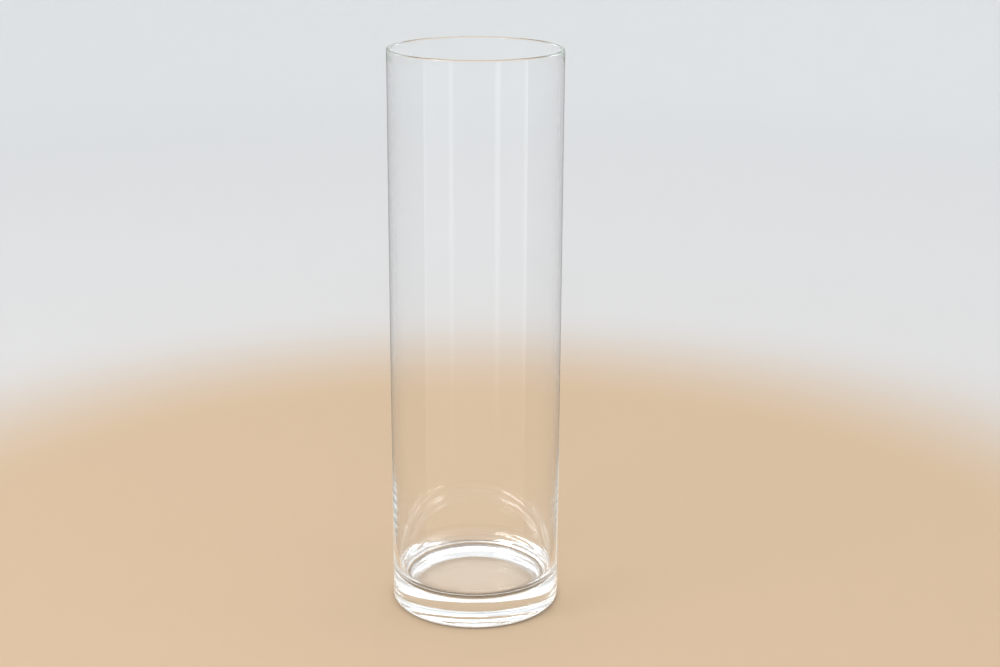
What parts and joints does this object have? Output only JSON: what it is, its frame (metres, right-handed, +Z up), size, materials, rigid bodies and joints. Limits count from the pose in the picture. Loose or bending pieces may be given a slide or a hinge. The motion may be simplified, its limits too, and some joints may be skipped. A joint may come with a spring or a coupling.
{
  "type": "cylinder vase",
  "caption": "Tall straight-sided clear glass cylinder vase with a thick solid base and an open rounded rim, for holding cut flowers in water.",
  "frame": {"origin": "on the vase's axis, at the level of the surface that it stands on", "axes": "+Z up along the axis, from the base to the open rim; +X and +Y are any two directions across"},
  "size_m": [0.09, 0.09, 0.3],
  "materials": {
    "clear_glass": "clear colourless glass, fire-polished, faintly wavy side"
  },
  "bodies": {
    "root": {"glass_vase": "clear_glass"}
  },
  "joints": []
}
